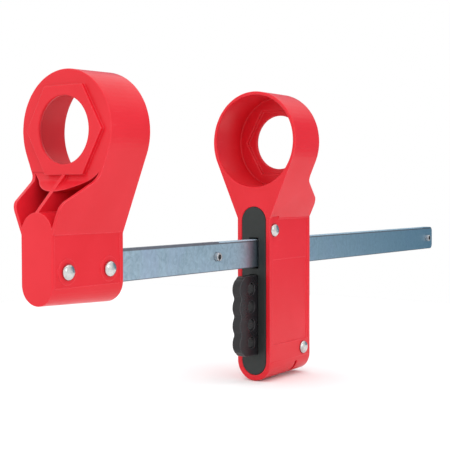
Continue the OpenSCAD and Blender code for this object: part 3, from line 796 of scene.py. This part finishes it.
class CLAMP_OT_rivets(Operator):
    """Domed rivets through both heads"""

    bl_idname = "clamp.rivets"
    bl_label = "Domed Rivets"

    def execute(self, context):
        self.turn("fixed_head_rivets", context)
        self.turn("upper_rivet", context)
        self.turn("lower_rivet", context)
        return {"FINISHED"}

    def turn(self, node, context):
        """Spins one rivet for each solid: shank, domed head with a soft rim and a small flat on top."""
        steps = context.scene.clamp_shape.turn_steps
        low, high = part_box(node)
        head_r = (high.z - low.z) / 2
        middle = (low + high) / 2
        places = [middle.x]
        if high.x - low.x > 3 * head_r:
            places = [low.x + head_r, high.x - head_r]
        bm = bmesh.new()
        for x in places:
            half_length = self.half_length(node, x)
            profile = self.profile(half_length, head_r)
            turned(bm, profile, Y_AXIS, Vector((x, 0, middle.z)), steps)
        close_up(bm)
        flatten_normals(finished(bm, node), 60)

    def profile(self, half_length, head_r):
        """Points of (radius, height) from the middle of one head to the middle of the other."""
        head_h = 3.0 * MM
        shank_r = 3.0 * MM
        rim = 0.45 * MM
        flat_r = 0.6 * MM
        dome_steps = 8
        seat = half_length - head_h
        half = [(0.0, half_length), (flat_r, half_length)]
        for step in range(1, dome_steps + 1):
            turn = math.radians(90) * step / dome_steps
            half.append((
                flat_r + (head_r - flat_r) * math.sin(turn),
                seat + rim + (head_h - rim) * math.cos(turn) ** 0.9,
            ))
        half += [(head_r - 0.12 * MM, seat + 0.1 * MM), (head_r - 0.4 * MM, seat), (shank_r, seat)]
        return half + [(r, -h) for r, h in reversed(half)]

    def half_length(self, node, x):
        """How far the rivet at x reaches to each side, from the CAD solid's own points there."""
        near = 5.2 * MM
        data = frame["nodes"][node].data
        return max(abs(v.co.y) for v in data.vertices if abs(v.co.x - x) < near)


class CLAMP_OT_stop_pins(Operator):
    """Rolled spring pins through the bar, each with its slit"""

    bl_idname = "clamp.stop_pins"
    bl_label = "Stop Pins"

    def execute(self, context):
        for node in ("inner_stop_pin", "end_stop_pin"):
            self.rolled_pin(node, context.scene.clamp_shape.turn_steps)
        return {"FINISHED"}

    def rolled_pin(self, node, steps):
        """Spins the wall's section most of the way round, so that the slit stays open."""
        wall = 1.2 * MM
        chamfer = 0.35 * MM
        burr = 0.1 * MM
        slit = math.radians(16)
        slit_side = math.radians(118)
        low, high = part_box(node)
        centre = (low + high) / 2
        r = (high.x - low.x) / 2
        half = (high.y - low.y) / 2
        bore = r - wall
        side = Matrix.Rotation(slit_side, 3, Y_AXIS) @ Vector((1, 0, 0))
        section = [
            (bore, half - burr), (bore + burr, half), (r - chamfer, half), (r, half - chamfer),
            (r, chamfer - half), (r - chamfer, -half), (bore + burr, -half), (bore, burr - half),
        ]
        bm = bmesh.new()
        face = bm.faces.new([bm.verts.new(centre + side * a + Y_AXIS * h) for a, h in section])
        bmesh.ops.spin(
            bm, geom=[face, *face.edges, *face.verts], cent=centre, axis=Y_AXIS,
            angle=math.tau - slit, steps=steps, use_merge=False, use_duplicate=False,
        )
        close_up(bm)
        flatten_normals(finished(bm, node), 60)


class CLAMP_OT_mechanism(Operator):
    """Yoke, pawl, cam plate and the small pins inside the sliding head"""

    bl_idname = "clamp.mechanism"
    bl_label = "Pawl Mechanism"

    def execute(self, context):
        edge = context.scene.clamp_shape.steel_edge
        for node in ("lock_yoke", "pawl", "cam_plate", "cam_plate_pin", "pawl_rivets", "follower_pin",
                     "follower_clips", "spring_guide_pins"):
            moulded_copy(node, edge)
        return {"FINISHED"}


class CLAMP_OT_springs(Operator):
    """Coil springs with closed ends behind the trigger and over the pawl"""

    bl_idname = "clamp.springs"
    bl_label = "Coil Springs"

    def execute(self, context):
        across = Vector((1, 0, 0))
        upward = Vector((0, 0, 1))
        squeeze = self.travel("trigger_squeeze")
        lift = self.travel("pawl_lift")
        for node, turns, joint, axis, move in (
            ("trigger_spring_upper", 8, "trigger_squeeze", across, squeeze),
            ("trigger_spring_lower", 8, "trigger_squeeze", across, squeeze),
            ("pawl_spring", 4, "pawl_lift", upward, lift),
        ):
            low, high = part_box(node)
            piece = self.coil(context.scene.clamp_shape, node, axis, turns)
            length = (high - low).dot(axis)
            tuple(axis)
            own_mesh(piece)
        return {"FINISHED"}

    def travel(self, name):
        """The joint's largest move from rest, in metres."""
        joint = next(j for j in frame["joints"] if j["name"] == name)
        return max(abs(v) for v in (joint.get("range_m") or joint["range"]))

    def coil(self, shape, node, axis, turns):
        """Sweeps the wire's circle up a helix: a closed turn, the open turns and a closed turn."""
        wire = 0.9 * MM
        closed_turns = 0.9
        closed_pitch = wire * 1.03
        low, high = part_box(node)
        size = high - low
        centre = (low + high) / 2
        length = size.dot(axis)
        across = min(size[i] for i in range(3) if axis[i] == 0)
        radius = across / 2 - wire / 2
        foot = centre - axis * (length / 2 - wire / 2)
        side = axis.orthogonal().normalized()
        bm = bmesh.new()
        facing = Vector((0, 0, 1)).rotation_difference(axis.cross(side)).to_matrix().to_4x4()
        verts = bmesh.ops.create_circle(
            bm, cap_ends=False, radius=wire / 2, segments=shape.wire_sides,
            matrix=Matrix.Translation(foot + side * radius) @ facing,
        )["verts"]
        geom = verts + list(dict.fromkeys(e for v in verts for e in v.link_edges))
        open_turns = turns - 2 * closed_turns
        open_pitch = (length - wire - 2 * closed_turns * closed_pitch) / open_turns
        for count, pitch in (
            (closed_turns, closed_pitch), (open_turns, open_pitch), (closed_turns, closed_pitch),
        ):
            steps = max(4, round(count * shape.coil_steps))
            geom = bmesh.ops.spin(
                bm, geom=geom, cent=foot, axis=axis, dvec=axis * (pitch * count / steps),
                angle=math.tau * count, steps=steps, use_merge=False, use_duplicate=False,
            )["geom_last"]
        bmesh.ops.holes_fill(bm, edges=bm.edges, sides=shape.wire_sides)
        close_up(bm)
        return finished(bm, node)


class CLAMP_OT_studio(Operator):
    """Camera, soft lights and a plain pale floor"""

    bl_idname = "clamp.studio"
    bl_label = "Studio"

    def execute(self, context):
        scene = context.scene
        scene.view_settings.view_transform = "Standard"
        self.camera(scene)
        self.world(scene)
        self.lights(scene)
        self.floor(scene)
        return {"FINISHED"}

    def camera(self, scene):
        """Long lens at bar height, in front of the fixed head and a little to the left."""
        place = Vector((-0.449865, -0.442813, -0.033745))
        yaw = math.radians(35.983)
        pitch = math.radians(-2.006)
        roll = math.radians(-0.147)
        data = bpy.data.cameras.new("clamp_camera")
        data.lens = 85.85
        data.sensor_width = 36.0
        data.clip_start = 0.01
        ahead = Vector((math.cos(yaw) * math.cos(pitch), math.sin(yaw) * math.cos(pitch), math.sin(pitch)))
        level = Vector((math.sin(yaw), -math.cos(yaw), 0))
        above = level.cross(ahead)
        right = level * math.cos(roll) + above * math.sin(roll)
        up = above * math.cos(roll) - level * math.sin(roll)
        turn = Matrix((right, up, -ahead)).transposed().to_4x4()
        camera = bpy.data.objects.new("clamp_camera", data)
        camera.matrix_world = Matrix.Translation(place) @ turn
        scene.collection.objects.link(camera)
        scene.camera = camera

    def world(self, scene):
        """White to the camera; for all else a bright room with one dim blue-grey side at eye level."""
        bright = (1.0, 1.0, 1.0, 1.0)
        blue_grey = (0.12, 0.25, 0.33)
        dim_bearing = math.radians(10)
        dim_rise = 0.08
        world = bpy.data.worlds.new("studio_room")
        world.use_nodes = True
        tree = world.node_tree
        tree.nodes.clear()
        way = put(tree, "ShaderNodeTexCoord").outputs["Generated"]
        axes = put(tree, "ShaderNodeSeparateXYZ", {0: way}).outputs
        bearing = maths(tree, "ARCTAN2", axes[1], axes[0])
        aside = maths(tree, "ABSOLUTE", maths(tree, "SUBTRACT", bearing, dim_bearing))
        rise = maths(tree, "ABSOLUTE", maths(tree, "SUBTRACT", axes[2], dim_rise))
        dim = maths(
            tree, "MULTIPLY",
            ranged(tree, aside, math.radians(34), math.radians(72), 1.0, 0.0, smooth=True),
            ranged(tree, rise, 0.34, 0.42, 1.0, 0.0, smooth=True),
        )
        tone = blend_colour(tree, dim, bright, blue_grey)
        ray = put(tree, "ShaderNodeLightPath").outputs["Is Camera Ray"]
        room = put(tree, "ShaderNodeBackground", {"Color": tone, "Strength": 1.12})
        paper = put(tree, "ShaderNodeBackground", {"Color": bright, "Strength": 1.0})
        mixed = put(tree, "ShaderNodeMixShader", {0: ray, 1: room.outputs[0], 2: paper.outputs[0]})
        out = put(tree, "ShaderNodeOutputWorld", {"Surface": mixed.outputs[0]})
        out.is_active_output = True
        scene.world = world

    def lights(self, scene):
        """Large soft boxes above, to the left and in front, all turned to the clamp's middle."""
        middle = Vector((0.18, 0.0, -0.07))
        for name, place, size, power in (
            ("top_softbox", (0.1, -0.15, 1.15), (1.3, 1.0), 4.0),
            ("left_softbox", (-1.15, 0.45, 0.25), (0.9, 0.9), 1.0),
            ("front_softbox", (-0.35, -1.2, 0.5), (0.6, 0.6), 2.0),
        ):
            data = bpy.data.lights.new(name, "AREA")
            data.shape = "RECTANGLE"
            data.size, data.size_y = size
            data.energy = power
            light = bpy.data.objects.new(name, data)
            spot = Vector(place)
            turn = (middle - spot).to_track_quat("-Z", "Y").to_matrix().to_4x4()
            light.matrix_world = Matrix.Translation(spot) @ turn
            scene.collection.objects.link(light)

    def floor(self, scene):
        """A square sheet of pale paper just under the clamp."""
        half_size = 0.55
        gap = 0.2 * MM
        middle_x = 0.2
        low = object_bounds()[0]
        bm = bmesh.new()
        bmesh.ops.create_grid(
            bm, x_segments=2, y_segments=2, size=half_size,
            matrix=Matrix.Translation((middle_x, 0, low[2] - gap)),
        )
        mesh = bpy.data.meshes.new("studio_floor")
        bm.to_mesh(mesh)
        bm.free()
        floor = bpy.data.objects.new("studio_floor", mesh)
        scene.collection.objects.link(floor)
        material, tree, bsdf, place = start_material("floor_paper", Roughness=0.9, Specular_IOR_Level=0.1)
        white = tuple(scene.clamp_colours.floor)
        tone = blend_colour(tree, noise(tree, place, 3.0, detail=2.0), shade(white, 0.985), white)
        tree.links.new(tone, bsdf.inputs["Base Color"])
        mesh.materials.append(material)
        floor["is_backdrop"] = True


class CLAMP_PT_panel(Panel):
    """Lists the clamp's settings and pieces"""

    bl_idname = "CLAMP_PT_panel"
    bl_label = "Lockout Clamp"
    bl_space_type = "VIEW_3D"
    bl_region_type = "UI"
    bl_category = "Lockout Clamp"

    def draw(self, context):
        layout = self.layout
        for group in (context.scene.clamp_shape, context.scene.clamp_colours):
            for key in group.__annotations__:
                layout.prop(group, key)
        for operator in OPERATORS:
            layout.operator(operator.bl_idname)


OPERATORS = (
    CLAMP_OT_studio,
    CLAMP_OT_red_heads,
    CLAMP_OT_bar,
    CLAMP_OT_black_inserts,
    CLAMP_OT_trigger,
    CLAMP_OT_rivets,
    CLAMP_OT_stop_pins,
    CLAMP_OT_mechanism,
    CLAMP_OT_springs,
)
CLASSES = (ClampShapeSettings, ClampColourSettings, *OPERATORS, CLAMP_PT_panel)


def register():
    """Registers the classes and puts the settings on the scene."""
    for cls in CLASSES:
        bpy.utils.register_class(cls)
    bpy.types.Scene.clamp_shape = PointerProperty(type=ClampShapeSettings)
    bpy.types.Scene.clamp_colours = PointerProperty(type=ClampColourSettings)


def unregister():
    """Takes the settings and the classes away again."""
    del bpy.types.Scene.clamp_colours
    del bpy.types.Scene.clamp_shape
    for cls in reversed(CLASSES):
        bpy.utils.unregister_class(cls)


def main():
    register()
    for operator in OPERATORS:
        space, name = operator.bl_idname.split(".")
        getattr(getattr(bpy.ops, space), name)()


if __name__ == "__main__":
    main()
